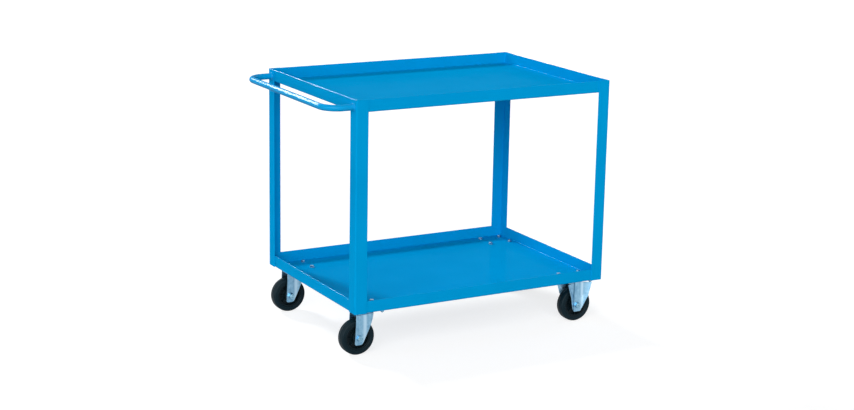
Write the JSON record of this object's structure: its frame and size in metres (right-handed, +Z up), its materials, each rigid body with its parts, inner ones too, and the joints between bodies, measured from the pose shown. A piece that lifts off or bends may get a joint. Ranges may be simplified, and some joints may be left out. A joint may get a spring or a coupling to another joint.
{
  "type": "shelf trolley",
  "caption": "Steel shelf trolley with an upper and a lower lipped tray on corner posts, a push handle at one end, and swivel and fixed casters.",
  "frame": {"origin": "on the floor under the middle of the overall length and width, handle included", "axes": "+X along the trolley away from the handle, +Y to the left of the person pushing, +Z up"},
  "size_m": [1.105, 0.7, 0.893],
  "materials": {
    "blue_paint": "semi-gloss powder coat",
    "zinc_pressings": "bright zinc plate",
    "zinc_fasteners": "bright zinc plate",
    "bearing_steel": "ground",
    "rim_plastic": "moulded",
    "tyre_rubber": "moulded rubber"
  },
  "bodies": {
    "frame": {"upper_tray": "blue_paint", "lower_tray": "blue_paint", "push_handle": "blue_paint", "caster_bolts": "zinc_fasteners", "caster_washers": "zinc_fasteners", "caster_nuts": "zinc_fasteners", "rear_left_post": "blue_paint", "rear_right_post": "blue_paint", "front_left_post": "blue_paint", "front_right_post": "blue_paint", "swivel_left_plate": "zinc_pressings", "swivel_left_kingpin": "zinc_pressings", "swivel_left_upper_balls": "bearing_steel", "swivel_left_lower_balls": "bearing_steel", "fixed_left_fork": "zinc_pressings", "fixed_left_axle_bolt": "zinc_fasteners", "fixed_left_axle_nut": "zinc_fasteners", "fixed_left_axle_sleeve": "bearing_steel", "swivel_right_plate": "zinc_pressings", "swivel_right_kingpin": "zinc_pressings", "swivel_right_upper_balls": "bearing_steel", "swivel_right_lower_balls": "bearing_steel", "fixed_right_fork": "zinc_pressings", "fixed_right_axle_bolt": "zinc_fasteners", "fixed_right_axle_nut": "zinc_fasteners", "fixed_right_axle_sleeve": "bearing_steel"},
    "swivel_left_caster": {"swivel_left_fork": "zinc_pressings", "swivel_left_axle_bolt": "zinc_fasteners", "swivel_left_axle_nut": "zinc_fasteners", "swivel_left_axle_sleeve": "bearing_steel"},
    "swivel_left_wheel": {"swivel_left_rim": "rim_plastic", "swivel_left_tyre": "tyre_rubber", "swivel_left_bearing": "bearing_steel"},
    "fixed_left_wheel": {"fixed_left_rim": "rim_plastic", "fixed_left_tyre": "tyre_rubber", "fixed_left_bearing": "bearing_steel"},
    "swivel_right_caster": {"swivel_right_fork": "zinc_pressings", "swivel_right_axle_bolt": "zinc_fasteners", "swivel_right_axle_nut": "zinc_fasteners", "swivel_right_axle_sleeve": "bearing_steel"},
    "swivel_right_wheel": {"swivel_right_rim": "rim_plastic", "swivel_right_tyre": "tyre_rubber", "swivel_right_bearing": "bearing_steel"},
    "fixed_right_wheel": {"fixed_right_rim": "rim_plastic", "fixed_right_tyre": "tyre_rubber", "fixed_right_bearing": "bearing_steel"}
  },
  "joints": [
    {"name": "swivel_left_turn", "type": "hinge", "parent": "frame", "child": "swivel_left_caster", "pos_m": [-0.3695, 0.278, 0.163], "axis": [0, 0, 1], "continuous": true},
    {"name": "swivel_left_roll", "type": "hinge", "parent": "swivel_left_caster", "child": "swivel_left_wheel", "pos_m": [-0.4055, 0.278, 0.0625], "axis": [0, 1, 0], "continuous": true},
    {"name": "fixed_left_roll", "type": "hinge", "parent": "frame", "child": "fixed_left_wheel", "pos_m": [0.4825, 0.278, 0.0625], "axis": [0, 1, 0], "continuous": true},
    {"name": "swivel_right_turn", "type": "hinge", "parent": "frame", "child": "swivel_right_caster", "pos_m": [-0.3695, -0.278, 0.163], "axis": [0, 0, 1], "continuous": true},
    {"name": "swivel_right_roll", "type": "hinge", "parent": "swivel_right_caster", "child": "swivel_right_wheel", "pos_m": [-0.4055, -0.278, 0.0625], "axis": [0, 1, 0], "continuous": true},
    {"name": "fixed_right_roll", "type": "hinge", "parent": "frame", "child": "fixed_right_wheel", "pos_m": [0.4825, -0.278, 0.0625], "axis": [0, 1, 0], "continuous": true}
  ]
}
